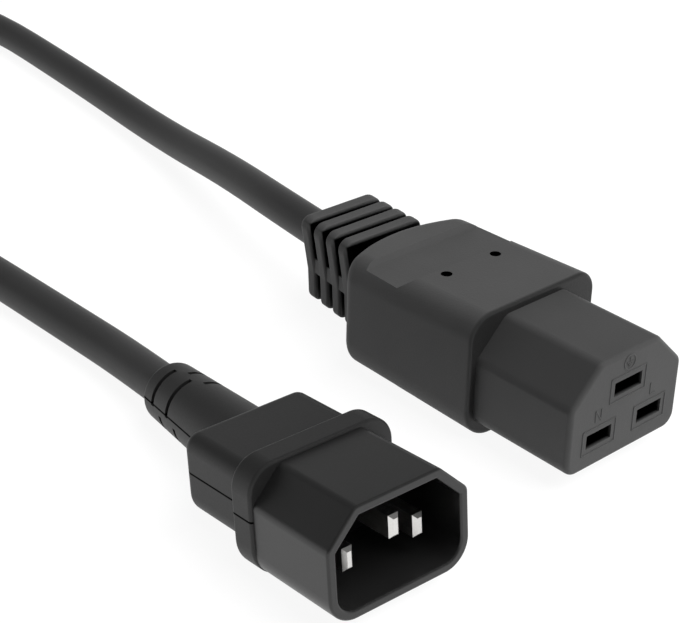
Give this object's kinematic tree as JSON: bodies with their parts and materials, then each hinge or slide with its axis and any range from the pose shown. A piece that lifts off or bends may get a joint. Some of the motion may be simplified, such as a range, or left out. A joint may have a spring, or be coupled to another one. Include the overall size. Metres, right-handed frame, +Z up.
{
  "type": "power cord",
  "caption": "Mains power cord with a moulded female connector at one end and a shrouded male plug at the other.",
  "frame": {"origin": "on the surface the cord lies on, below the middle of the connector's bounding box", "axes": "+X the way the connector's mating face looks, +Z up from the surface"},
  "size_m": [0.3139, 0.1617, 0.0251],
  "materials": {
    "connector_soft": "matte, faintly grained",
    "connector_hard": "satin",
    "contact": "plain",
    "line_core": "satin",
    "neutral_core": "satin",
    "earth_core": "satin, green with yellow stripes",
    "cable_sheath": "satin",
    "strap": "woven",
    "plug_soft": "satin",
    "plug_hard": "satin gloss",
    "pin": "bright nickel plate"
  },
  "bodies": {
    "root": {"connector_overmould": "connector_soft", "connector_insert": "connector_hard", "connector_insert_cap": "connector_hard", "connector_line_contact": "contact", "connector_neutral_contact": "contact", "connector_earth_contact": "contact", "connector_line_core": "line_core", "connector_neutral_core": "neutral_core", "connector_earth_core": "earth_core", "cable_to_connector": "cable_sheath", "cable_coil": "cable_sheath", "coil_strap": "strap", "cable_to_plug": "cable_sheath", "plug_overmould": "plug_soft", "plug_shroud": "plug_hard", "plug_line_pin": "pin", "plug_neutral_pin": "pin", "plug_earth_pin": "pin", "plug_line_core": "line_core", "plug_neutral_core": "neutral_core", "plug_earth_core": "earth_core"}
  },
  "joints": []
}
